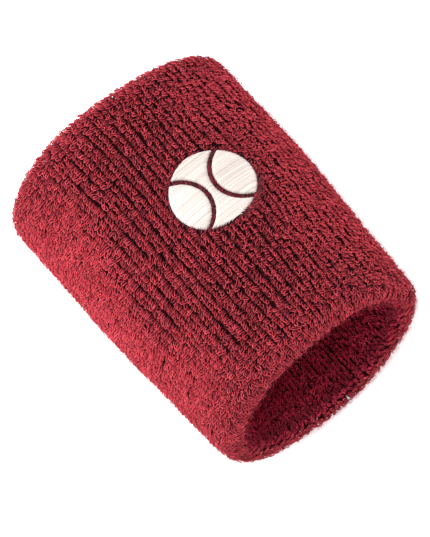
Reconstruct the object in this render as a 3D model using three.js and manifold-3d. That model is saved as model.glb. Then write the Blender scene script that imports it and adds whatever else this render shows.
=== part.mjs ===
// Sweat wristband: a folded double tube of terry knit with covered elastic yarns laid in between
// its two layers, closed by a seam inside the bore, with a small embroidered ball on the back.
// Millimetres. +Y runs along the bore (the wide opening is at -Y), +Z is up, and the band lies on
// the flat of its underside at z = 0. The band opens over the hand by stretching, so every ring is
// cut in two at splitHeight: a palm half below and a back half above, which part along +Z.
import * as THREE from 'three';
import * as BufferGeometryUtils from 'three/addons/utils/BufferGeometryUtils.js';
import Module from 'manifold-3d';

// Driving dimensions
const bandLength = 92;
const nearWidth = 62.5;
const nearHeight = 45;
const middleWidth = 67;
const middleHeight = 42;
const farWidth = 65.5;
const farHeight = 40.5;
const ovalPower = 0.95;
const fabricThickness = 2.75;
const restSquash = 0.6;
const gap = 0.3;
const splitHeight = 20.5;

const elasticRings = 10;
const elasticDiameter = 0.7;
const elasticEdge = 7;

const seamY = 6;
const seamWidth = 4;
const seamThickness = 2;

const ballDiameter = 22;
const ballX = 11;
const ballY = 5;
const seamGap = 1.4;
const seamOffset = 11;
const seamCurve = 9.5;
const satinThickness = 1;
const stitchThickness = 0.7;
const stitchMargin = 1.6;
const backingThickness = 0.3;
const backingSize = 30;
const backingCorner = 4;
const bobbinThickness = 0.3;

const segments = 40;
const halfLength = bandLength / 2;
// The wall holds two layers of fabric and, between them, an elastic yarn and the embroidery's back
const wallContents = elasticDiameter + backingThickness + bobbinThickness + 4 * gap;
const wallThickness = 2 * fabricThickness + wallContents;
const foldRadius = wallThickness / 2;

const wasm = await Module();
wasm.setup();

const toSolid = (geometry) => {
  const bare = geometry.index ? geometry : geometry.clone();
  bare.deleteAttribute('normal');
  bare.deleteAttribute('uv');
  const merged = BufferGeometryUtils.mergeVertices(bare, 1e-4);
  const vertProperties = new Float32Array(merged.attributes.position.array);
  const triVerts = new Uint32Array(merged.index.array);
  return new wasm.Manifold(new wasm.Mesh({ numProp: 3, vertProperties, triVerts }));
};

const toGeometry = (solid) => {
  const mesh = solid.getMesh();
  const geometry = new THREE.BufferGeometry();
  geometry.setAttribute('position', new THREE.BufferAttribute(mesh.vertProperties, 3));
  geometry.setIndex(new THREE.BufferAttribute(mesh.triVerts, 1));
  geometry.computeVertexNormals();
  return geometry;
};

// A size along the band: a parabola through its near, middle and far values
const alongBand = (near, middle, far, y) => {
  const k = THREE.MathUtils.clamp((y + halfLength) / bandLength, 0, 1);
  return near * (1 - k) + far * k + (middle - (near + far) / 2) * 4 * k * (1 - k);
};

// The point at angle u and depth below the outside of the oval section at y
const onOval = (u, depth, y) => {
  const halfWidth = alongBand(nearWidth, middleWidth, farWidth, y) / 2;
  const halfHeight = alongBand(nearHeight, middleHeight, farHeight, y) / 2;
  const rounded = (value) => Math.sign(value) * Math.abs(value) ** ovalPower;
  const x = (halfWidth - depth) * rounded(Math.cos(u));
  const z = halfHeight + (halfHeight - depth) * rounded(Math.sin(u));
  return new THREE.Vector3(x, y, Math.max(z, restSquash) - restSquash);
};

// A ring whose profile is a closed list of [depth, y] points, lathed and then bent to the oval
const ovalRing = (profile) => {
  const reference = 50;
  const points = profile.map(([depth, y]) => new THREE.Vector2(reference - depth, y));
  points.push(points[0].clone());
  const geometry = new THREE.LatheGeometry(points, segments);
  const position = geometry.attributes.position;
  for (let i = 0; i < position.count; i += 1) {
    const lathed = new THREE.Vector3().fromBufferAttribute(position, i);
    const u = Math.atan2(lathed.z, lathed.x) + Math.PI / segments;
    const bent = onOval(u, reference - Math.hypot(lathed.x, lathed.z), lathed.y);
    position.setXYZ(i, bent.x, bent.y, bent.z);
  }
  return toSolid(geometry);
};

// Points on a line of constant depth, or round a cuff's fold
const straightRun = (depth, from, to, steps) =>
  Array.from({ length: steps + 1 }, (_, i) => [depth, from + ((to - from) * i) / steps]);

const foldRun = (centreY, radius, side, steps) =>
  Array.from({ length: steps - 1 }, (_, i) => {
    const angle = (Math.PI * (i + 1)) / steps;
    const depth = foldRadius - side * radius * Math.cos(angle);
    return [depth, centreY + side * radius * Math.sin(angle)];
  });

// One skin of the folded tube, from the seam round the near cuff, the outside and the far cuff
const foldedSkin = (inset) => {
  const radius = foldRadius - inset;
  const near = foldRadius - halfLength;
  const far = halfLength - foldRadius;
  const inner = wallThickness - inset;
  const seamEdge = seamWidth / 2 + gap;
  return [
    ...straightRun(inner, seamY - seamEdge, near, 4),
    ...foldRun(near, radius, -1, 6),
    ...straightRun(inset, near, far, 8),
    ...foldRun(far, radius, 1, 6),
    ...straightRun(inner, far, seamY + seamEdge, 4),
  ];
};

const boxBetween = (zLow, zHigh) => {
  const size = 4 * bandLength;
  const box = new THREE.BoxGeometry(size, size, zHigh - zLow);
  box.translate(0, 0, (zLow + zHigh) / 2);
  return toSolid(box);
};

const palmSpace = boxBetween(-bandLength, splitHeight - gap / 2);
const backSpace = boxBetween(splitHeight + gap / 2, bandLength);

// A patch that follows the outside of the band between two depths, cut to a flat outline
const patch = (outline, outerDepth, innerDepth) => {
  const reach = backingSize;
  const shell = ovalRing([
    ...straightRun(outerDepth, -reach, reach, 8),
    ...straightRun(innerDepth, reach, -reach, 8),
  ]);
  const prism = new THREE.ExtrudeGeometry(outline, { depth: bandLength, bevelEnabled: false });
  prism.translate(ballX, ballY, splitHeight + foldRadius);
  return shell.intersect(toSolid(prism));
};

const discOutline = (radius) => new THREE.Shape().absarc(0, 0, radius, 0, 2 * Math.PI, false);

const roundedSquare = (size, corner) => {
  const half = size / 2;
  const inner = half - corner;
  const shape = new THREE.Shape();
  shape.absarc(inner, inner, corner, 0, Math.PI / 2, false);
  shape.absarc(-inner, inner, corner, Math.PI / 2, Math.PI, false);
  shape.absarc(-inner, -inner, corner, Math.PI, 1.5 * Math.PI, false);
  shape.absarc(inner, -inner, corner, 1.5 * Math.PI, 2 * Math.PI, false);
  return shape;
};

// Pieces that go all round the band, each made as a palm half and a back half
const ringPieces = {
  terry_sleeve: ovalRing([...foldedSkin(0), ...foldedSkin(fabricThickness).reverse()]),
  closing_seam: ovalRing([
    ...straightRun(wallThickness, seamY + seamWidth / 2, seamY - seamWidth / 2, 1),
    ...straightRun(wallThickness - seamThickness, seamY - seamWidth / 2, seamY + seamWidth / 2, 1),
  ]),
};

const elasticSpan = bandLength - 2 * elasticEdge;
const elasticDepth = fabricThickness + gap + elasticDiameter / 2;
for (let i = 0; i < elasticRings; i += 1) {
  const y = elasticEdge - halfLength + (elasticSpan * i) / (elasticRings - 1);
  const section = Array.from({ length: 6 }, (_, k) => {
    const angle = (Math.PI * k) / 3;
    const radius = elasticDiameter / 2;
    return [elasticDepth + radius * Math.cos(angle), y - radius * Math.sin(angle)];
  });
  ringPieces[`elastic_yarn_${String(i + 1).padStart(2, '0')}`] = ovalRing(section);
}

// The ball is three satin fields: what lies left of, between and right of its two curved seams
const ballRadius = ballDiameter / 2;
const satinDepth = -satinThickness / 2;
const satinDisc = patch(discOutline(ballRadius), satinDepth, satinDepth + satinThickness);
const seamCut = (side, radius) => {
  const outline = discOutline(radius);
  const cutter = new THREE.ExtrudeGeometry(outline, { depth: 2 * bandLength, bevelEnabled: false });
  cutter.translate(ballX + side * seamOffset, ballY, 0);
  return toSolid(cutter);
};
const seamInside = seamCurve - seamGap / 2;
const seamOutside = seamCurve + seamGap / 2;
const patchPieces = {
  satin_field_left: satinDisc.intersect(seamCut(-1, seamInside)),
  satin_field_right: satinDisc.intersect(seamCut(1, seamInside)),
  satin_field_centre: satinDisc.subtract(seamCut(-1, seamOutside)).subtract(seamCut(1, seamOutside)),
};

const stitchDepth = satinDepth + satinThickness + gap;
const stitchDisc = discOutline(ballRadius + stitchMargin);
const pocketDisc = discOutline(ballRadius + stitchMargin + gap);
patchPieces.knockdown_stitching = patch(stitchDisc, stitchDepth, stitchDepth + stitchThickness);
const pocket = patch(pocketDisc, -wallThickness, stitchDepth + stitchThickness + gap);
ringPieces.terry_sleeve = ringPieces.terry_sleeve.subtract(pocket);

const backingDepth = elasticDepth + elasticDiameter / 2 + gap;
const bobbinDepth = backingDepth + backingThickness + gap;
const backingOutline = roundedSquare(backingSize, backingCorner);
patchPieces.stabiliser_backing = patch(backingOutline, backingDepth, backingDepth + backingThickness);
patchPieces.bobbin_stitching = patch(stitchDisc, bobbinDepth, bobbinDepth + bobbinThickness);

const finishes = {
  terry_sleeve: { color: 0x86262f, roughness: 0.95 },
  closing_seam: { color: 0x6b1820, roughness: 0.8 },
  elastic_yarn: { color: 0xd9d4ca, roughness: 0.6 },
  satin_field: { color: 0xf2ebe5, roughness: 0.35 },
  knockdown_stitching: { color: 0x7d2630, roughness: 0.6 },
  stabiliser_backing: { color: 0xf4f2ec, roughness: 0.9 },
  bobbin_stitching: { color: 0xe9e6df, roughness: 0.5 },
};

const group = new THREE.Group();
const addPiece = (name, solid) => {
  const finish = finishes[Object.keys(finishes).find((key) => name.startsWith(key))];
  const material = new THREE.MeshStandardMaterial({ ...finish, metalness: 0 });
  const mesh = new THREE.Mesh(toGeometry(solid), material);
  mesh.name = name;
  group.add(mesh);
};

for (const [name, ring] of Object.entries(ringPieces)) {
  addPiece(`${name}_palm`, ring.intersect(palmSpace));
  addPiece(`${name}_back`, ring.intersect(backSpace));
}
for (const [name, solid] of Object.entries(patchPieces)) {
  addPiece(name, solid);
}

export default group;
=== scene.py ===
# Sweat wristband in terry knit: a folded double tube, its pile, its embroidery and what it holds
import bpy
import numpy as np
from mathutils import Matrix, Vector


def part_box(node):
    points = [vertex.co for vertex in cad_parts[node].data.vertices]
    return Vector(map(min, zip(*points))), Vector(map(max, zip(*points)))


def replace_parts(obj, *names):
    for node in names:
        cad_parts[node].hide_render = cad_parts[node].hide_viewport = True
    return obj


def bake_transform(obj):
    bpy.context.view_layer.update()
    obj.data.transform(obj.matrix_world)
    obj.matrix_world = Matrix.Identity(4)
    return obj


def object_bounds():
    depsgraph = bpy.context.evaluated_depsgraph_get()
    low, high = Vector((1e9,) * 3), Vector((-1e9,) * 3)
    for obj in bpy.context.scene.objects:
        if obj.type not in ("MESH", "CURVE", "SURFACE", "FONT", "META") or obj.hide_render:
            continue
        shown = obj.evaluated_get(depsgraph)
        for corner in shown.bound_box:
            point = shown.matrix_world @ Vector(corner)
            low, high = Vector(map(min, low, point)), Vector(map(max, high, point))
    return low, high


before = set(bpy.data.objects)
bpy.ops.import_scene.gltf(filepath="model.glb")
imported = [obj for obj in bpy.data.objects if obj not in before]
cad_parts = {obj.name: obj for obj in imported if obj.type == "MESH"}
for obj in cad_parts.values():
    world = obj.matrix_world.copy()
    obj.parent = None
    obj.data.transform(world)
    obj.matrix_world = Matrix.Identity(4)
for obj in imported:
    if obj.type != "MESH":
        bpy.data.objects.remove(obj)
cadLow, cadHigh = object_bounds()
mm = 0.001
random = np.random.default_rng(41)

# The band's form. The overall size comes from the frame, the rest are shares of it or millimetres
band = {
    "length": cadHigh.y - cadLow.y,
    "middleWidth": cadHigh.x - cadLow.x,
    "middleHeight": 42 * mm,
    "nearWidth": 0.933,
    "farWidth": 0.998,
    "nearHeight": 1.071,
    "farHeight": 0.964,
    "ovalPower": 0.95,
    "wall": 8.0 * mm,
    "squash": 0.6 * mm,
    "pile": 2.0 * mm,
    "ground": 0.75 * mm,
    "sag": 0.25 * mm,
    "wander": 0.45 * mm,
    "farRim": (1.5 * mm, -2.6 * mm, -3.1 * mm, 1.3 * mm),
    "ribs": 52,
}
halfLength = band["length"] / 2
foldRadius = band["wall"] / 2
straightHalf = halfLength - foldRadius
rootRadius = foldRadius - band["pile"]
foldLength = np.pi * rootRadius
cuffEnd = straightHalf + foldLength
tipCuffEnd = straightHalf + np.pi * foldRadius
lip = straightHalf + 0.6 * np.pi * foldRadius


def alongBand(near, middle, far, along):
    # a parabola through the near, middle and far values
    k = np.clip((along + halfLength) / band["length"], 0, 1)
    return near * (1 - k) + far * k + (middle - (near + far) / 2) * 4 * k * (1 - k)


def halfSizes(along):
    w, h = band["middleWidth"] / 2, band["middleHeight"] / 2
    halfWidth = alongBand(w * band["nearWidth"], w, w * band["farWidth"], along)
    return halfWidth, alongBand(h * band["nearHeight"], h, h * band["farHeight"], along)


def ovalPoint(turn, depth, along, lift=0.0):
    # superellipse: x = a cos(turn)^p, z = b + b sin(turn)^p, shrunk by depth and flat underneath;
    # towards the far rim, along gains a cubic of x / a, because that rim isn't cut square
    def rounded(value):
        return np.sign(value) * np.abs(value) ** band["ovalPower"]
    halfWidth, halfHeight = halfSizes(along)
    x = (halfWidth - depth) * rounded(np.cos(turn))
    z = halfHeight + (halfHeight - depth) * rounded(np.sin(turn)) - band["squash"]
    bowed = along + np.polyval(band["farRim"], x / halfWidth) * np.clip(along / halfLength, 0, 1) ** 2
    return np.stack(np.broadcast_arrays(x, bowed, np.maximum(z, lift)), -1)


def arcTable():
    # turn as a function of the share of the way round, at the middle of the wall
    turn = np.linspace(-0.5 * np.pi, 1.5 * np.pi, 2001)
    ring = ovalPoint(turn, foldRadius, np.zeros_like(turn), -1)
    step = np.linalg.norm(np.diff(ring, axis=0), axis=1)
    walked = np.concatenate([[0], np.cumsum(step)])
    return walked / walked[-1], turn, walked[-1]


shareTable, turnTable, middleRound = arcTable()
ribPitch = middleRound / band["ribs"]


def turnAt(share):
    return np.interp(share % 1, shareTable, turnTable)


def foldPoint(run, rise):
    # run walks along the pile's roots from the middle of the outside, round a cuff and back inside
    size = np.abs(run)
    angle = np.clip((size - straightHalf) / rootRadius, 0, np.pi)
    inside = np.maximum(size - straightHalf - foldLength, 0)
    radius = rootRadius + rise
    along = np.minimum(size, straightHalf) - inside + radius * np.sin(angle)
    return foldRadius - radius * np.cos(angle), np.sign(run) * along


# slow waves that keep the knit from looking drawn with a ruler: [turns round, waves along, phase]
slowWaves = np.stack([random.integers(1, 6, 7), random.uniform(0.4, 2.6, 7), random.uniform(0, 6.28, 7)])


def slowNoise(share, run, start):
    # the mean of sines of share and run, from -1 to 1
    turns, waves, phase = (row.reshape(-1, *[1] * np.ndim(share)) for row in slowWaves)
    along = 2 * np.pi * waves * run / band["length"]
    return np.sin(2 * np.pi * turns * share + along + phase * start).mean(0) * 2


def fabricPoint(share, run, rise, lift=0.0):
    # from the knit laid flat (round, along, up) to its place on the folded band
    depth, along = foldPoint(run, rise)
    depth = depth + band["sag"] * slowNoise(share, run, 1.0)
    shifted = share + band["wander"] * slowNoise(share, run, 2.3) / middleRound
    return ovalPoint(turnAt(shifted), depth, along, lift)


def topPoint(x, along, depth):
    # the point of the band's upper side straight above x, at this depth below the pile's tips
    halfWidth, halfHeight = halfSizes(along)
    power = 1 / band["ovalPower"]
    cosine = np.clip(np.abs(x) / (halfWidth - depth), 0, 1) ** power
    height = np.sqrt(1 - cosine**2) ** band["ovalPower"] * (halfHeight - depth)
    return np.stack(np.broadcast_arrays(x, along, halfHeight + height - band["squash"]), -1)


def buildMesh(name, verts, faces, material, maps=None, uv=None):
    # faces: n rows of 3 or 4 points; maps: point attributes by name; uv: one pair for each point
    mesh = bpy.data.meshes.new(name)
    mesh.vertices.add(len(verts))
    mesh.vertices.foreach_set("co", np.asarray(verts, np.float32).ravel())
    sides = faces.shape[1]
    mesh.loops.add(faces.size)
    mesh.loops.foreach_set("vertex_index", faces.astype(np.int32).ravel())
    mesh.polygons.add(len(faces))
    mesh.polygons.foreach_set("loop_start", np.arange(0, faces.size, sides, dtype=np.int32))
    mesh.polygons.foreach_set("use_smooth", np.ones(len(faces), bool))
    mesh.update(calc_edges=True)
    for title, values in (maps or {}).items():
        layer = mesh.attributes.new(title, "FLOAT", "POINT")
        layer.data.foreach_set("value", np.asarray(values, np.float32).ravel())
    if uv is not None:
        layer = mesh.uv_layers.new(name="yarnMap")
        layer.data.foreach_set("uv", np.asarray(uv, np.float32)[faces.ravel()].ravel())
    mesh.materials.append(material)
    piece = bpy.data.objects.new(name, mesh)
    bpy.context.scene.collection.objects.link(piece)
    return piece


def crossFrames(centre):
    # carries a side vector along each curve without twisting it; one step per point of the curve
    tangent = np.gradient(centre, axis=1)
    tangent /= np.linalg.norm(tangent, axis=2, keepdims=True) + 1e-12
    helper = np.where(np.abs(tangent[:, 0, 2:]) < 0.8, [[0.0, 0.0, 1.0]], [[1.0, 0.0, 0.0]])
    side = np.empty_like(centre)
    current = np.cross(tangent[:, 0], helper)
    for k in range(centre.shape[1]):
        current = current - (current * tangent[:, k]).sum(1, keepdims=True) * tangent[:, k]
        current /= np.linalg.norm(current, axis=1, keepdims=True) + 1e-12
        side[:, k] = current
    return side, np.cross(tangent, side)


def strandMesh(centre, radius, sides):
    # a tube of 3 or 4 sides round each of n curves of m points, shut by one face at each end
    n, m, _ = centre.shape
    side, up = crossFrames(centre)
    angle = 2 * np.pi * (np.arange(sides) + 0.5) / sides
    ring = side[:, :, None] * np.cos(angle)[:, None] + up[:, :, None] * np.sin(angle)[:, None]
    verts = centre[:, :, None] + ring * np.broadcast_to(radius, (n, m))[..., None, None]
    index = np.arange(n * m * sides).reshape(n, m, sides)
    a, b = index[:, :-1], index[:, 1:]
    faces = np.stack([a, np.roll(a, -1, 2), np.roll(b, -1, 2), b], -1).reshape(-1, 4)
    if sides == 3:
        faces = np.concatenate([faces[:, [0, 1, 2]], faces[:, [0, 2, 3]]])
    faces = np.concatenate([faces, index[:, 0, ::-1], index[:, -1]])
    step = np.linalg.norm(np.diff(centre, axis=1), axis=2)
    walk = np.concatenate([np.zeros((n, 1)), step.cumsum(1)], 1)
    uv = np.stack(np.broadcast_arrays(walk[..., None] / mm, np.arange(sides) / sides), -1)
    return verts.reshape(-1, 3), faces, uv.reshape(-1, 2)


def closedTube(centre, radius, sides):
    # a tube round one closed curve; radius may change along and round it
    tangent = np.roll(centre, -1, 0) - np.roll(centre, 1, 0)
    tangent /= np.linalg.norm(tangent, axis=1, keepdims=True)
    middle = centre.mean(0) * [1, 0, 1] + centre * [0, 1, 0]
    up = centre - middle
    up -= (up * tangent).sum(1, keepdims=True) * tangent
    up /= np.linalg.norm(up, axis=1, keepdims=True)
    side = np.cross(up, tangent)
    angle = 2 * np.pi * np.arange(sides) / sides
    ring = up[:, None] * np.cos(angle)[:, None] + side[:, None] * np.sin(angle)[:, None]
    verts = centre[:, None] + ring * np.broadcast_to(radius, (len(centre), sides))[..., None]
    index = np.arange(len(centre) * sides).reshape(-1, sides)
    a, b = index, np.roll(index, -1, 0)
    faces = np.stack([a, b, np.roll(b, -1, 1), np.roll(a, -1, 1)], -1).reshape(-1, 4)
    walk = np.linalg.norm(np.diff(centre, axis=0, prepend=centre[-1:]), axis=1).cumsum()
    uv = np.stack(np.broadcast_arrays(walk[:, None] / mm, np.arange(sides) / sides), -1).reshape(-1, 2)
    return verts.reshape(-1, 3), faces, uv


def linearColour(code):
    channels = np.array([int(code[i:i + 2], 16) for i in (1, 3, 5)]) / 255
    linear = np.where(channels <= 0.04045, channels / 12.92, ((channels + 0.055) / 1.055) ** 2.4)
    return (*linear, 1.0)


def addNode(tree, kind, inputs=None, **settings):
    node = tree.nodes.new(kind)
    for title, value in settings.items():
        setattr(node, title, value)
    for title, value in (inputs or {}).items():
        if isinstance(value, bpy.types.NodeSocket):
            tree.links.new(value, node.inputs[title])
        else:
            node.inputs[title].default_value = value
    return node


def startMaterial(name):
    material = bpy.data.materials.new(name)
    material.use_nodes = True
    material.node_tree.nodes.clear()
    return material, material.node_tree


def finishMaterial(tree, inputs):
    shader = addNode(tree, "ShaderNodeBsdfPrincipled", inputs)
    addNode(tree, "ShaderNodeOutputMaterial", {"Surface": shader.outputs["BSDF"]})


def plyTwist(tree, pitch, waves):
    # ridges that wind round a yarn: sine of 2 pi (length / pitch + waves * way round)
    place = addNode(tree, "ShaderNodeSeparateXYZ", {
        0: addNode(tree, "ShaderNodeUVMap", uv_map="yarnMap").outputs[0]})
    length = addNode(tree, "ShaderNodeMath", {
        0: place.outputs[0], 1: 2 * np.pi / pitch}, operation="MULTIPLY")
    winding = addNode(tree, "ShaderNodeMath", {
        0: place.outputs[1], 1: 2 * np.pi * waves, 2: length.outputs[0]}, operation="MULTIPLY_ADD")
    return addNode(tree, "ShaderNodeMath", {0: winding.outputs[0]}, operation="SINE").outputs[0]


def terryYarn(name, look):
    # Cotton-rich terry yarn, spun and dyed: matt, with a soft pile sheen, lighter fibre specks that are
    # partly painted sheen, and painted shade that darkens it towards the roots
    material, tree = startMaterial(name)
    tone = addNode(tree, "ShaderNodeAttribute", attribute_name="tone").outputs["Fac"]
    rise = addNode(tree, "ShaderNodeAttribute", attribute_name="rise").outputs["Fac"]
    body = addNode(tree, "ShaderNodeMix", {
        0: tone, 6: linearColour(look["deep"]), 7: linearColour(look["bright"])}, data_type="RGBA")
    place = addNode(tree, "ShaderNodeTexCoord").outputs["Object"]
    # lighter fibre specks over the body: partly the yarn's own mottling and partly painted sheen
    fibres = addNode(tree, "ShaderNodeTexNoise", {"Vector": place, "Scale": 1 / (0.35 * mm)})
    speckAndSheen = addNode(tree, "ShaderNodeMapRange", {
        "Value": fibres.outputs[0], "From Min": 0.4, "From Max": 0.7, "To Min": 0.0, "To Max": 0.4})
    hairAndSheen = addNode(tree, "ShaderNodeMix", {
        0: speckAndSheen.outputs[0], 6: body.outputs[2], 7: linearColour(look["speckAndSheen"])}, data_type="RGBA")
    # painted shade: as rise falls from the tips to the roots, the colour darkens to the root colour,
    # standing in for the shade deep in the pile
    lit = addNode(tree, "ShaderNodeMapRange", {
        "Value": rise, "From Min": look["rootEnd"], "From Max": look["tipStart"]},
        interpolation_type="SMOOTHSTEP")
    colour = addNode(tree, "ShaderNodeMix", {
        0: lit.outputs[0], 6: linearColour(look["paintedRootShade"]), 7: hairAndSheen.outputs[2]}, data_type="RGBA")
    bump = addNode(tree, "ShaderNodeBump", {
        "Height": plyTwist(tree, 0.9, 2), "Distance": 0.05 * mm, "Strength": 0.6})
    finishMaterial(tree, {
        "Base Color": colour.outputs[2], "Roughness": 0.85, "Normal": bump.outputs[0],
        "Specular IOR Level": 0.12, "Sheen Weight": look["sheen"], "Sheen Roughness": 0.45,
        "Sheen Tint": linearColour(look["sheenTint"])})
    return material


def plainThread(name, look):
    # Filament or spun thread: each length of it a little lighter or darker, with fine twisted ridges
    material, tree = startMaterial(name)
    tone = addNode(tree, "ShaderNodeAttribute", attribute_name="tone").outputs["Fac"]
    colour = addNode(tree, "ShaderNodeMix", {
        0: tone, 6: linearColour(look["deep"]), 7: linearColour(look["bright"])}, data_type="RGBA")
    bump = addNode(tree, "ShaderNodeBump", {
        "Height": plyTwist(tree, look["pitch"], 2), "Distance": look["ridge"] * mm, "Strength": 0.5})
    finishMaterial(tree, {
        "Base Color": colour.outputs[2], "Roughness": look["roughness"], "Normal": bump.outputs[0],
        "Specular IOR Level": look["gloss"], "Sheen Weight": look["sheen"], "Sheen Roughness": 0.3})
    return material


def pressedFelt(name):
    # Non-woven polyester stabiliser: pressed random fibres, matt white
    material, tree = startMaterial(name)
    place = addNode(tree, "ShaderNodeTexCoord").outputs["Object"]
    fibres = addNode(tree, "ShaderNodeTexNoise", {
        "Vector": place, "Scale": 1 / (0.25 * mm), "Detail": 6.0}).outputs[0]
    colour = addNode(tree, "ShaderNodeMix", {
        0: fibres, 6: linearColour("#E4E0D6"), 7: linearColour("#FBFAF6")}, data_type="RGBA")
    bump = addNode(tree, "ShaderNodeBump", {
        "Height": fibres, "Distance": 0.08 * mm, "Strength": 0.8})
    finishMaterial(tree, {
        "Base Color": colour.outputs[2], "Roughness": 0.9, "Normal": bump.outputs[0],
        "Specular IOR Level": 0.3})
    return material


def knitGround(name):
    # Plain knit behind the pile: its stitches in relief, coloured dark as painted shade because the loops
    # shut the light out, and the hollows of its stitches painted darker still
    material, tree = startMaterial(name)
    wale, course = 1.0, 0.7
    place = addNode(tree, "ShaderNodeSeparateXYZ", {
        0: addNode(tree, "ShaderNodeUVMap", uv_map="yarnMap").outputs[0]})
    across = addNode(tree, "ShaderNodeMath", {
        0: place.outputs[0], 1: 2 * np.pi / wale}, operation="MULTIPLY")
    along = addNode(tree, "ShaderNodeMath", {
        0: place.outputs[1], 1: 2 * np.pi / course}, operation="MULTIPLY")
    zigzag = addNode(tree, "ShaderNodeMath", {0: across.outputs[0]}, operation="SINE")
    stitch = addNode(tree, "ShaderNodeMath", {
        0: zigzag.outputs[0], 1: 1.6, 2: along.outputs[0]}, operation="MULTIPLY_ADD")
    relief = addNode(tree, "ShaderNodeMath", {0: stitch.outputs[0]}, operation="SINE").outputs[0]
    shade = addNode(tree, "ShaderNodeMapRange", {"Value": relief, "From Min": -1.0, "From Max": 1.0})
    # painted shade: dark red to near black, darker in the stitch hollows
    colour = addNode(tree, "ShaderNodeMix", {
        0: shade.outputs[0], 6: linearColour("#1C0408"), 7: linearColour("#3C0C14")}, data_type="RGBA")
    bump = addNode(tree, "ShaderNodeBump", {"Height": relief, "Distance": 0.12 * mm, "Strength": 0.8})
    finishMaterial(tree, {
        "Base Color": colour.outputs[2], "Roughness": 0.95, "Normal": bump.outputs[0],
        "Specular IOR Level": 0.15})
    return material


def backlitTable(name):
    # Opal acrylic light table: matt, nearly white, and lit a little from below
    material, tree = startMaterial(name)
    place = addNode(tree, "ShaderNodeTexCoord").outputs["Object"]
    cloud = addNode(tree, "ShaderNodeTexNoise", {"Vector": place, "Scale": 1 / (30 * mm)})
    colour = addNode(tree, "ShaderNodeMix", {
        0: cloud.outputs[0], 6: linearColour("#F8F8F8"), 7: linearColour("#FCFCFC")}, data_type="RGBA")
    finishMaterial(tree, {
        "Base Color": colour.outputs[2], "Roughness": 0.9, "Specular IOR Level": 0.2,
        "Emission Color": (1, 1, 1, 1), "Emission Strength": 0.5})
    return material


# the root colours below are painted shade, taken on towards the roots of the loops and fibres
outerYarn = terryYarn("dyed terry yarn, outside, with painted root shade", {
    "deep": "#B42C3A", "bright": "#DC4755", "speckAndSheen": "#EA6E78", "paintedRootShade": "#20030A",
    "rootEnd": 0.22, "tipStart": 0.92, "sheen": 0.1, "sheenTint": "#F09098"})
# the inside yarn's colours are lighter and bluer than the outside yarn's; the lightening is painted light
# for the inside of the tube
innerYarnPaintedLighter = terryYarn("dyed terry yarn, inside", {
    "deep": "#D02848", "bright": "#F43E60", "speckAndSheen": "#F65E78", "paintedRootShade": "#3A0611",
    "rootEnd": 0.14, "tipStart": 0.9, "sheen": 0.1, "sheenTint": "#E08890"})
fuzzYarn = terryYarn("dyed terry fibre ends, with painted root shade", {
    "deep": "#B02C3C", "bright": "#D05060", "speckAndSheen": "#D86874", "paintedRootShade": "#701420",
    "rootEnd": 0.0, "tipStart": 0.6, "sheen": 0.05, "sheenTint": "#E88088"})
groundKnitPaintedShade = knitGround("plain knit ground, painted shade")
satinThread = plainThread("white satin embroidery thread", {
    "deep": "#C9BCB4", "bright": "#E6DED7", "pitch": 0.5, "ridge": 0.03,
    "roughness": 0.4, "gloss": 0.45, "sheen": 0.1})
tonalThread = plainThread("dark red embroidery thread", {
    "deep": "#4A0D17", "bright": "#92263A", "pitch": 0.5, "ridge": 0.03,
    "roughness": 0.45, "gloss": 0.4, "sheen": 0.1})
seamThread = plainThread("spun overlock thread", {
    "deep": "#5C101E", "bright": "#84202F", "pitch": 0.6, "ridge": 0.04,
    "roughness": 0.75, "gloss": 0.3, "sheen": 0.2})
elasticYarn = plainThread("covered elastane yarn", {
    "deep": "#C2BBAC", "bright": "#EAE6DC", "pitch": 0.7, "ridge": 0.05,
    "roughness": 0.55, "gloss": 0.4, "sheen": 0.1})
bobbinThread = plainThread("fine bobbin thread", {
    "deep": "#D4CFC3", "bright": "#F2EFE8", "pitch": 0.4, "ridge": 0.02,
    "roughness": 0.5, "gloss": 0.4, "sheen": 0.1})
backingFelt = pressedFelt("non-woven stabiliser")
lightTable = backlitTable("opal acrylic light table")
print("materials made")

# how a piece joins the frame
halves = ("palm", "back")
sleeveNodes = [f"terry_sleeve_{half}" for half in halves]


def join(piece, slot, *nodes):
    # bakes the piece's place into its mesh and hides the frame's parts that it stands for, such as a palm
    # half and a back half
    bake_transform(piece)
    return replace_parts(piece, *nodes)


# embroidery: a ball of three satin fields, parted by its two curved seams
ball = {
    "x": 11 * mm,
    "along": 5 * mm,
    "radius": 11 * mm,
    "margin": 1.6 * mm,
    "seamOffset": 11 * mm,
    "seamRadius": 9.5 * mm,
    "seamGap": 1.4 * mm,
    "thread": 0.2 * mm,
    "threadRadius": 0.18 * mm,
    "crown": 0.1 * mm,
    "arch": 0.75 * mm,
    "edgeRound": 0.5 * mm,
    "points": 15,
    "shortest": 0.5 * mm,
    "endJitter": 0.04 * mm,
    "rowJitter": 0.015 * mm,
    "lieJitter": 0.02 * mm,
}


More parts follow.
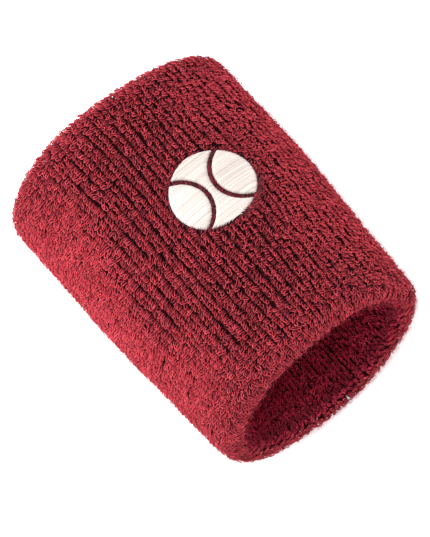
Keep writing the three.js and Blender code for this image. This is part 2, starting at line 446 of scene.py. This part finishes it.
def satinField(name, node, left, right):
    # threads lie side by side along x, each arching from one edge of the field to the other:
    # depth = crown + arch - arch tanh(way from the nearer end / edgeRound)^0.7
    rows = np.arange(-ball["radius"] + ball["thread"] / 2, ball["radius"], ball["thread"])
    start, stop = left(rows), right(rows)
    kept = stop - start > ball["shortest"]
    rows, start, stop = rows[kept], start[kept], stop[kept]
    v = 0.5 - 0.5 * np.cos(np.pi * np.linspace(0, 1, ball["points"]))
    jitter = random.normal(0, ball["endJitter"], (len(rows), 2))
    start, stop = start + jitter[:, 0], stop + jitter[:, 1]
    x = start[:, None] + (stop - start)[:, None] * v
    along = rows[:, None] + random.normal(0, ball["rowJitter"], (len(rows), 1)) + 0 * v
    reach = np.maximum(np.minimum(x - start[:, None], stop[:, None] - x), 0)
    arch = ball["arch"] * np.tanh(reach / ball["edgeRound"]) ** 0.7
    lie = random.normal(0, ball["lieJitter"], (len(rows), 1))
    depth = ball["crown"] + ball["arch"] - arch + lie
    centre = topPoint(ball["x"] + x, ball["along"] + along, depth)
    verts, faces, uv = strandMesh(centre, ball["threadRadius"], 4)
    tone = np.repeat(random.uniform(0, 1, len(rows)), centre.shape[1] * 4)
    piece = buildMesh(name, verts, faces, satinThread, {"tone": tone}, uv)
    return join(piece, "satin_thread", node)


def ballEdge(rows):
    return np.sqrt(np.maximum(ball["radius"] ** 2 - rows**2, 0))


def seamEdge(rows, radius):
    # where the curved seam's circle crosses each row, or the ball's own edge past its ends
    reach = np.sqrt(np.maximum(radius**2 - rows**2, 0)) - ball["seamOffset"]
    return np.where(np.abs(rows) < radius, np.maximum(reach, -ballEdge(rows)), -ballEdge(rows))


lensRadius = ball["seamRadius"] - ball["seamGap"] / 2
waistRadius = ball["seamRadius"] + ball["seamGap"] / 2
satinField("satin_stitches_left", "satin_field_left",
           lambda rows: -ballEdge(rows), lambda rows: seamEdge(rows, lensRadius))
satinField("satin_stitches_right", "satin_field_right",
           lambda rows: -seamEdge(rows, lensRadius), ballEdge)
satinField("satin_stitches_centre", "satin_field_centre",
           lambda rows: seamEdge(rows, waistRadius), lambda rows: -seamEdge(rows, waistRadius))


def fillStitches(name, disc, material, slot, node):
    # rows of short stitches over a disc, each row shifted by part of a stitch:
    # depth = the disc's depth - arch sin(pi v)^0.6
    cosine, sine = np.cos(disc["angle"]), np.sin(disc["angle"])
    reach = disc["radius"]
    rows = np.arange(-reach, reach, disc["rowGap"])
    cells = np.arange(-reach, reach + disc["stitch"], disc["stitch"])
    row, cell = (grid.ravel() for grid in np.meshgrid(rows, cells, indexing="ij"))
    shift = (np.arange(len(rows)) * disc["stagger"] % 1)[:, None] + 0 * cells
    start = cell + (shift.ravel() + random.normal(0, 0.06, row.shape)) * disc["stitch"]
    v = np.linspace(0, 1, 6)
    u = start[:, None] + disc["stitch"] * 0.96 * v
    w = row[:, None] + random.normal(0, 0.05 * mm, (len(row), 1)) + 0 * v
    inside = (np.hypot(u, w) < reach).all(1)
    u, w = u[inside], w[inside]
    x, along = u * cosine - w * sine, u * sine + w * cosine
    depth = disc["depth"] - disc["arch"] * np.sin(np.pi * v) ** 0.6 + 0 * u
    centre = topPoint(ball["x"] + x, ball["along"] + along, depth)
    verts, faces, uv = strandMesh(centre, disc["threadRadius"], 4)
    tone = np.repeat(random.uniform(0, 1, len(u)), len(v) * 4)
    piece = buildMesh(name, verts, faces, material, {"tone": tone}, uv)
    return join(piece, slot, node)


def curvedPlate(name, outline, depth, thickness, material, rings=14, steps=72):
    # a plate that follows the band: a disc of rings on both faces, closed round its rim
    angle = 2 * np.pi * np.arange(steps) / steps
    edge = outline(angle)
    share = np.linspace(0, 1, rings)[1:]
    x = ball["x"] + share[:, None] * edge * np.cos(angle)
    along = ball["along"] + share[:, None] * edge * np.sin(angle)
    faces, verts, uv = [], [], []
    for level in (depth, depth + thickness):
        start = sum(len(part) for part in verts)
        grid = topPoint(x, along, level).reshape(-1, 3)
        middle = topPoint(np.array([ball["x"]]), np.array([ball["along"]]), level)
        verts += [grid, middle]
        uv.append(np.concatenate([grid[:, :2], middle[:, :2]]) / mm)
        index = start + np.arange(len(grid)).reshape(rings - 1, steps)
        a, b = index[:-1], index[1:]
        quads = np.stack([a, b, np.roll(b, -1, 1), np.roll(a, -1, 1)], -1).reshape(-1, 4)
        centre = np.full(steps // 2, start + len(grid))
        fan = np.stack([centre, index[0, ::2], index[0, 1::2], np.roll(index[0, ::2], -1)], -1)
        quads = np.concatenate([quads, fan])
        faces.append(quads if level == depth else quads[:, ::-1])
    upper = (np.arange(len(verts[0])).reshape(rings - 1, steps))[-1]
    lower = upper + len(verts[0]) + 1
    faces.append(np.stack([upper, lower, np.roll(lower, -1), np.roll(upper, -1)], -1))
    return buildMesh(name, np.concatenate(verts), np.concatenate(faces), material, uv=np.concatenate(uv))


discRadius = ball["radius"] + ball["margin"]
knockdown = {
    "radius": discRadius,
    "rowGap": 0.5 * mm,
    "stitch": 1.7 * mm,
    "stagger": 0.37,
    "angle": 0.45,
    "depth": 1.5 * mm,
    "arch": 0.3 * mm,
    "threadRadius": 0.22 * mm,
}
pressed = {"radius": discRadius + 0.3 * mm, "depth": 1.5 * mm, "thickness": 0.45 * mm}
bobbin = {
    "radius": discRadius - 0.3 * mm,
    "rowGap": 0.7 * mm,
    "stitch": 2.2 * mm,
    "stagger": 0.5,
    "angle": 0.0,
    "depth": 4.85 * mm,
    "arch": 0.1 * mm,
    "threadRadius": 0.1 * mm,
}
felt = {"depth": 4.1 * mm, "thickness": 0.2 * mm}


def pressedDisc(angle):
    return pressed["radius"] + 0 * angle


fillStitches("knockdown_stitches", knockdown, tonalThread, "tonal_thread", "knockdown_stitching")
# the pressed pile wears the ground knit's material, so it too is painted dark as shade
pressedPile = curvedPlate("pressed_pile", pressedDisc, pressed["depth"], pressed["thickness"], groundKnitPaintedShade)
join(pressedPile, "terry_knit", *sleeveNodes)
fillStitches("bobbin_stitches", bobbin, bobbinThread, "bobbin_thread", "bobbin_stitching")

feltLow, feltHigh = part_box("stabiliser_backing")
feltHalf = (feltHigh.x - feltLow.x) / 2


def roundedSquare(angle):
    # the distance from the centre to a square's side, its corners rounded by a power of six
    return feltHalf / (np.abs(np.cos(angle)) ** 6 + np.abs(np.sin(angle)) ** 6) ** (1 / 6)


backing = curvedPlate("backing_sheet", roundedSquare, felt["depth"], felt["thickness"], backingFelt)
join(backing, "backing_felt", "stabiliser_backing")
print("embroidery made")

# the sleeve's ground knit, and where its closing seam lies
seam = {
    "along": 6 * mm,
    "width": 4 * mm,
    "stitches": 128,
    "pointsPerStitch": 8,
    "depth": band["wall"] - 1.0 * mm,
    "crossing": 1.7 * mm,
    "bounce": 0.35 * mm,
    "threadRadius": 0.2 * mm,
    "coreRadius": 0.55 * mm,
}
toSeam = 2 * straightHalf + foldLength
runLow = -(toSeam + seam["along"] - seam["width"] / 2)
runHigh = toSeam - seam["along"] - seam["width"] / 2


ground = {"faceSteps": 150, "backSteps": 90, "stepsPerRib": 4, "groove": 0.25 * mm, "lift": 0.3 * mm}


def groundTube():
    # the knit's face follows the roots from seam to seam, and its back lies inside it;
    # a groove runs between the ribs: groove / 2 * (1 - cos(2 pi share ribs))
    face = np.linspace(runLow, runHigh, ground["faceSteps"])
    back = np.linspace(runHigh, runLow, ground["backSteps"])
    run = np.concatenate([face, back])
    rise = np.concatenate([np.zeros(len(face)), np.full(len(back), -band["ground"])])
    steps = ground["stepsPerRib"] * band["ribs"]
    share = np.arange(steps) / steps
    groove = -ground["groove"] * (0.5 - 0.5 * np.cos(2 * np.pi * share * band["ribs"]))
    rise = rise[:, None] + groove
    verts = fabricPoint(share[None] + 0 * rise, run[:, None] + 0 * rise, rise, ground["lift"])
    index = np.arange(rise.size).reshape(rise.shape)
    a, b = index, np.roll(index, -1, 0)
    faces = np.stack([a, np.roll(a, -1, 1), np.roll(b, -1, 1), b], -1).reshape(-1, 4)
    uv = np.stack([share[None] * middleRound / mm + 0 * rise, run[:, None] / mm + 0 * rise], -1)
    return buildMesh("terry_ground", verts.reshape(-1, 3), faces, groundKnitPaintedShade, uv=uv.reshape(-1, 2))


groundPiece = join(groundTube(), "terry_knit", *sleeveNodes)
print("ground knit made")

# Terry pile. A rib is two rows of loops, and under each tall loop lies a low one.
# Half widths are shares of the rib's pitch
outerPile = {
    "course": 1.06 * mm, "points": 8, "radius": 0.15 * mm, "height": 1.95 * mm, "under": 0.66,
    "lean": 1.75 * mm, "legGap": 0.6 * mm, "openHalf": 0.42, "shutHalf": 0.5, "crown": 1.0,
    "slant": -0.75, "spread": 0.34, "curl": 0.1 * mm, "parts": 6,
}
innerPile = {
    "course": 1.2 * mm, "points": 7, "radius": 0.15 * mm, "height": 1.8 * mm, "under": 0.72,
    "lean": 1.55 * mm, "legGap": 0.55 * mm, "openHalf": 0.48, "shutHalf": 0.5, "crown": 0.0,
    "slant": -0.6, "spread": 0.6, "curl": 0.2 * mm, "parts": 4,
}


def smoothStep(low, high, value):
    k = np.clip((value - low) / (high - low), 0, 1)
    return k * k * (3 - 2 * k)


# where the ribs part: over the crown, from partFrom to partTo of the way up, and less near the cuffs
ribbing = {
    "partFrom": 0.46,
    "partTo": 0.92,
    "tilt": 0.04,
    "waver": 0.1,
    "cuffRun": 12 * mm,
    "atCuff": 0.25,
}


def openness(share, run):
    # apart: 1 where the knit lies over the crown and its ribs part, 0 at the sides, less at the cuffs
    # packed: 1 where the loops crowd together on the sides, 0 at the crown and the cuffs
    turn = turnAt(share)
    crown = np.abs(np.sin(turn)) + ribbing["tilt"] * np.cos(turn)
    crown = crown + ribbing["waver"] * slowNoise(share, run, 3.1)
    flat = smoothStep(0, ribbing["cuffRun"], straightHalf - np.abs(run))
    parted = smoothStep(ribbing["partFrom"], ribbing["partTo"], crown)
    return parted * (ribbing["atCuff"] + (1 - ribbing["atCuff"]) * flat), (1 - parted) * flat


# how unlike one another the loops are, and how they behave near a cuff, in both piles
habit = {
    "courseJitter": 0.15 * mm,
    "rowJitter": 0.1 * mm,
    "drift": 0.12 * mm,
    "halfClump": 0.1,
    "halfJitter": 0.06,
    "rowsApart": 0.12,
    "cuffRun": 12 * mm,
    "cuffStart": 4 * mm,
    "slantClump": 0.4,
    "leanLow": 0.7,
    "leanHigh": 1.25,
    "cuffLean": 0.3,
    "middleHeight": 0.94,
    "heightJitter": 0.07,
    "heightClump": 0.05,
    "lowest": 0.75,
    "highest": 1.06,
    "packedLift": 0.6,
    "lipDip": 0.4,
    "lipFrom": 1 * mm,
    "lipWidth": 2.5 * mm,
    "curlTurns": 1.4,
    "rowLimit": 0.7,
    "edgeDip": 0.3,
    "valleyDip": 0.19,
    "valleyWidth": 0.2,
    "packedShade": 0.3,
}


def clumps(rib, course, row):
    # one normal number for each pair of courses of each row, so that neighbouring loops lie alike
    table = random.normal(0, 1, (band["ribs"], course.max() // 2 + 1, 2))
    return table[rib, course // 2, row]


def rootRun(tipRun):
    # tips spread out round a cuff: from the way walked along the tips to the way along the roots
    size = np.abs(tipRun)
    folded = np.clip(size - straightHalf, 0, np.pi * foldRadius) * rootRadius / foldRadius
    return np.sign(tipRun) * (np.minimum(size, straightHalf) + folded + np.maximum(size - tipCuffEnd, 0))


def loopCurves(pile, low, high):
    # each loop rises, leans over its row and comes back down beside its start
    courses = int((high - low) / pile["course"])
    rib, course, row, under = (grid.ravel() for grid in np.meshgrid(
        np.arange(band["ribs"]), np.arange(courses), np.arange(2), np.arange(2), indexing="ij"))
    count = len(rib)
    tipRun = low + (course + 0.5 * row + 0.5 * under) * pile["course"]
    tipRun = tipRun + random.normal(0, habit["courseJitter"], count)
    apart, packed = openness((rib + 0.5) / band["ribs"], rootRun(tipRun))
    apart = pile["crown"] * apart
    half = ribPitch * (pile["shutHalf"] + (pile["openHalf"] - pile["shutHalf"]) * apart)
    swing = habit["halfClump"] * clumps(rib, course, 0 * row)
    half = half * (1 + swing + random.normal(0, habit["halfJitter"], count))
    drift = habit["drift"] * clumps(rib, course, 0 * row)
    middle = (row - 0.5) * (1 + habit["rowsApart"] * apart) * half
    middle = middle + drift + random.normal(0, habit["rowJitter"], count)
    # near a cuff the loops lie along the band and over its edge
    beforeCuff = tipCuffEnd - habit["cuffStart"] - np.abs(tipRun)
    cuff = (1 - smoothStep(0, habit["cuffRun"], beforeCuff)) * (np.abs(tipRun) < tipCuffEnd)
    slant = pile["slant"] * (1 - cuff) + np.sign(tipRun) * 0.5 * np.pi * cuff
    slant = slant + habit["slantClump"] * clumps(rib, course, row)
    slant = slant + random.normal(0, pile["spread"], count) * (1.5 - 0.5 * apart)
    lean = pile["lean"] * random.uniform(habit["leanLow"], habit["leanHigh"], count)
    lean = lean * (1 + habit["cuffLean"] * cuff)
    height = random.normal(habit["middleHeight"], habit["heightJitter"], count)
    height = height + habit["heightClump"] * clumps(rib, course, row)
    height = np.clip(height, habit["lowest"], habit["highest"])
    height = height * (1 - (1 - pile["under"]) * under * (1 - habit["packedLift"] * packed))
    # just inside the lip the loops are pulled down by the fold
    fromLip = (np.abs(tipRun) - tipCuffEnd + habit["lipFrom"]) / habit["lipWidth"]
    height = height * (1 - habit["lipDip"] * np.exp(-fromLip**2))
    v = np.linspace(0, 1, pile["points"])
    swell = np.sin(np.pi * v)
    gap = 0.5 * pile["legGap"] * np.tanh(6 * (v - 0.5)) * (1 + 0.3 * swell)
    phase = random.uniform(0, 2 * np.pi, (2, count, 1))
    curl = pile["curl"] * swell * np.sin(2 * np.pi * habit["curlTurns"] * v + phase)
    forward = (swell**1.5 - 0.5) * lean[:, None]
    sine, cosine = np.sin(slant)[:, None], np.cos(slant)[:, None]
    limit = habit["rowLimit"] * half[:, None]
    x = cosine * forward - sine * gap + curl[0]
    x = middle[:, None] + limit * np.tanh(1.1 * x / limit)
    tipRun = tipRun[:, None] + sine * forward + cosine * gap + curl[1]
    # on the crown the edges of a rib lie lower, and so does the valley between its two rows
    edge = np.abs(x) / half[:, None]
    valley = habit["valleyDip"] * np.exp(-((edge / habit["valleyWidth"]) ** 2))
    level = height[:, None] * swell**0.4 * (1 - (habit["edgeDip"] * edge**3 + valley) * apart[:, None])
    share = (rib[:, None] + 0.5) / band["ribs"] + x / middleRound
    # shade sets the yarn's painted shade: the lower a point of a loop lies, the darker it is painted;
    # crowded loops hide their roots, so they look as light as their tips and their painted shade is
    # lifted
    shade = level + habit["packedShade"] * packed[:, None]
    return rib, share, rootRun(tipRun), pile["height"] * np.maximum(level, 0), shade


def underBall(place, reach):
    # true for points of the upper side that lie within reach of the ball's middle, seen from above
    away = np.hypot(place[..., 0] - ball["x"], place[..., 1] - ball["along"])
    return (away < reach) & (place[..., 2] > cadHigh.z / 2)


def pileMesh(name, pile, stretches, material):
    parts = [loopCurves(pile, low, high) for low, high in stretches]
    rib, share, run, rise, shade = (np.concatenate(column) for column in zip(*parts))
    outside = np.abs(run[:, 0]) < straightHalf
    place = fabricPoint(share, run, rise, pile["radius"])
    covered = underBall(place, ball["radius"] + pile["radius"]).any(1) & outside
    tone = random.uniform(0, 1, len(rib))
    for part in range(pile["parts"]):
        chosen = (rib * pile["parts"] // band["ribs"] == part) & ~covered
        verts, faces, uv = strandMesh(place[chosen], pile["radius"], 3)
        # the rise attribute carries each point's shade, which sets the yarn's painted root shade
        maps = {
            "tone": np.repeat(tone[chosen], pile["points"] * 3),
            "rise": np.repeat(shade[chosen].ravel(), 3),
        }
        piece = buildMesh(f"{name}_{part + 1}", verts, faces, material, maps, uv)
        join(piece, "terry_knit", *sleeveNodes)
    print(name, "loops", int((~covered).sum()))


cuffGain = tipCuffEnd - cuffEnd
insideStretches = [(runLow - cuffGain, -lip), (lip, runHigh + cuffGain)]
pileMesh("terry_pile_outside", outerPile, [(-lip, lip)], outerYarn)
pileMesh("terry_pile_inside", innerPile, insideStretches, innerYarnPaintedLighter)

# loose fibre ends that stand out of the pile and soften its outline
fuzz = {
    "count": 13000,
    "points": 3,
    "radius": 0.04 * mm,
    "length": 1.4 * mm,
    "from": 1.6 * mm,
    "clearOfBall": 0.8 * mm,
    "thinned": 0.7,
    "taper": 0.6,
}


def fibreEnds(name):
    # each fibre rises with a bend and a sideways lean, thinning towards its tip
    share = random.uniform(0, 1, (fuzz["count"], 1))
    tipRun = random.uniform(-tipCuffEnd, tipCuffEnd, (fuzz["count"], 1))
    v = np.linspace(0, 1, fuzz["points"])
    length = fuzz["length"] * random.uniform(0.5, 1.2, (fuzz["count"], 1))
    aim = random.uniform(0, 2 * np.pi, (fuzz["count"], 1))
    sideways = length * random.uniform(0.3, 1.0, (fuzz["count"], 1))
    bend = random.normal(0, 0.3, (fuzz["count"], 1)) * length * np.sin(np.pi * v)
    outX = (np.cos(aim) * v * sideways - np.sin(aim) * bend) / middleRound
    outRun = np.sin(aim) * v * sideways + np.cos(aim) * bend
    rise = fuzz["from"] + length * v * (1 - 0.25 * v)
    place = fabricPoint(share + outX, rootRun(tipRun + outRun), rise, fuzz["radius"])
    # fewer of them over the parted ribs of the crown
    apart = openness(share[:, 0], rootRun(tipRun[:, 0]))[0]
    kept = ~underBall(place, ball["radius"] + fuzz["clearOfBall"]).any(1)
    kept &= random.uniform(0, 1, fuzz["count"]) > fuzz["thinned"] * apart
    radius = fuzz["radius"] * (1 - fuzz["taper"] * v)
    verts, faces, uv = strandMesh(place[kept], radius, 3)
    # rise runs from each fibre's base to its tip, so its base takes the painted root shade
    maps = {
        "tone": np.repeat(random.uniform(0, 1, kept.sum()), fuzz["points"] * 3),
        "rise": np.tile(np.repeat(v, 3), kept.sum()),
    }
    return buildMesh(name, verts, faces, fuzzYarn, maps, uv)


for lot in (1, 2):
    join(fibreEnds(f"terry_fuzz_{lot}"), "terry_knit", *sleeveNodes)


def seamRing(waves, height, width, offset, radius):
    # a thread that waves across the seam: along = middle + width sin(phase),
    # depth = the seam's own depth + height cos(2 phase)
    steps = seam["stitches"] * seam["pointsPerStitch"]
    share = np.arange(steps) / steps
    phase = 2 * np.pi * waves * share + offset
    along = seam["along"] + width * np.sin(phase)
    depth = seam["depth"] + height * np.cos(2 * phase)
    return closedTube(ovalPoint(turnAt(share), depth, along, 0), radius, 6)


def mergeParts(parts):
    # joins (verts, faces, uv) triples into one
    start = np.cumsum([0] + [len(part[0]) for part in parts[:-1]])
    faces = np.concatenate([part[1] + first for part, first in zip(parts, start)])
    return np.concatenate([part[0] for part in parts]), faces, np.concatenate([part[2] for part in parts])


# closing seam: two threads that cross over a core, three-thread overlock drawn simply
seamVerts, seamFaces, seamUv = mergeParts([
    seamRing(seam["stitches"], seam["bounce"], seam["crossing"], 0.0, seam["threadRadius"]),
    seamRing(seam["stitches"], seam["bounce"], seam["crossing"], np.pi, seam["threadRadius"]),
    seamRing(0, 0.0, 0.0, 0.0, seam["coreRadius"]),
])
seamTone = 0.5 + 0.5 * np.sin(seamUv[:, 0] * 2)
join(buildMesh("closing_seam", seamVerts, seamFaces, seamThread, {"tone": seamTone}, seamUv),
     "seam_thread", *[f"closing_seam_{half}" for half in halves])

# laid-in elastic: one covered yarn to a course, its cover winding round it
elastic = {
    "radius": 0.32 * mm,
    "wraps": 90,
    "steps": 360,
    "sides": 8,
    "depth": 3.4 * mm,
    "ridge": 0.14,
}
palmRings = [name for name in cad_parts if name.startswith("elastic") and name.endswith("_palm")]
for ring in sorted(name.removesuffix("_palm") for name in palmRings):
    low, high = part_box(f"{ring}_palm")
    share = np.arange(elastic["steps"]) / elastic["steps"]
    centre = ovalPoint(turnAt(share), elastic["depth"], 0 * share + (low.y + high.y) / 2)
    wayRound = np.arange(elastic["sides"]) / elastic["sides"]
    winding = np.sin(2 * np.pi * (elastic["wraps"] * share[:, None] + 2 * wayRound))
    thickness = elastic["radius"] * (1 + elastic["ridge"] * winding)
    verts, faces, uv = closedTube(centre, thickness, elastic["sides"])
    wound = {"tone": 0.5 + 0.5 * winding}
    join(buildMesh(f"laid_in_{ring}", verts, faces, elasticYarn, wound, uv),
         "covered_elastic", *[f"{ring}_{half}" for half in halves])
print("seam and elastic made")


def stagePlane(name, size, height):
    corners = np.array([[-1, -1, 0], [1, -1, 0], [1, 1, 0], [-1, 1, 0]]) * size + [0, 0, height]
    plane = buildMesh(name, corners, np.array([[0, 1, 2, 3]]), lightTable)


stagePlane("floor", 3.0, 0)

# soft studio light: one box low on the left, one on the right and the strongest one above
lights = [
    {"name": "leftSoftbox", "place": (-0.34, 0.26, 0.16), "size": 0.25, "power": 2.25},
    {"name": "rightSoftbox", "place": (0.6, 0.1, 0.3), "size": 0.45, "power": 1.4},
    {"name": "topSoftbox", "place": (-0.1, -0.1, 0.9), "size": 0.5, "power": 4.6},
]
target = Vector((0, 0, cadHigh.z / 2))
for look in lights:
    lamp = bpy.data.lights.new(look["name"], "AREA")
    lamp.energy, lamp.size = look["power"], look["size"]
    holder = bpy.data.objects.new(look["name"], lamp)
    holder.visible_camera = False
    holder.location = look["place"]
    holder.rotation_euler = (target - Vector(look["place"])).to_track_quat("-Z", "Y").to_euler()
    bpy.context.scene.collection.objects.link(holder)

world = bpy.data.worlds.new("studio")
bpy.context.scene.world = world
world.use_nodes = True
world.node_tree.nodes["Background"].inputs[0].default_value = (1, 1, 1, 1)
world.node_tree.nodes["Background"].inputs[1].default_value = 0.75
bpy.context.scene.view_settings.view_transform = "Standard"

# degrees of turn, the way back from the band's middle, the height taken in, and the shift off centre
view = {
    "yaw": 3.52,
    "pitch": 62.44,
    "roll": 46.0,
    "distance": 2.94,
    "heightSeen": 134.183 * mm,
    "right": 0.417 * mm,
    "up": -2.85 * mm,
}


def placeCamera():
    yaw, pitch, roll = (np.radians(view[k]) for k in ("yaw", "pitch", "roll"))
    back = np.array([np.sin(yaw) * np.cos(pitch), -np.cos(yaw) * np.cos(pitch), np.sin(pitch)])
    right = np.array([np.cos(yaw), np.sin(yaw), 0])
    up = np.cross(back, right)
    across = right * np.cos(roll) - up * np.sin(roll)
    upward = right * np.sin(roll) + up * np.cos(roll)
    centre = np.array([0, 0, (band["middleHeight"] / 2 - band["squash"])])
    place = centre + back * view["distance"] - across * view["right"] + upward * view["up"]
    camera = bpy.data.cameras.new("camera")
    camera.sensor_width = 36
    camera.lens = camera.sensor_width * view["distance"] / view["heightSeen"]
    camera.clip_end = 10
    holder = bpy.data.objects.new("camera", camera)
    turned = Matrix([list(row) for row in np.stack([across, upward, back], 1)])
    holder.matrix_world = Matrix.Translation(place) @ turned.to_4x4()
    bpy.context.scene.collection.objects.link(holder)
    bpy.context.scene.camera = holder


placeCamera()
print("camera and lights set")
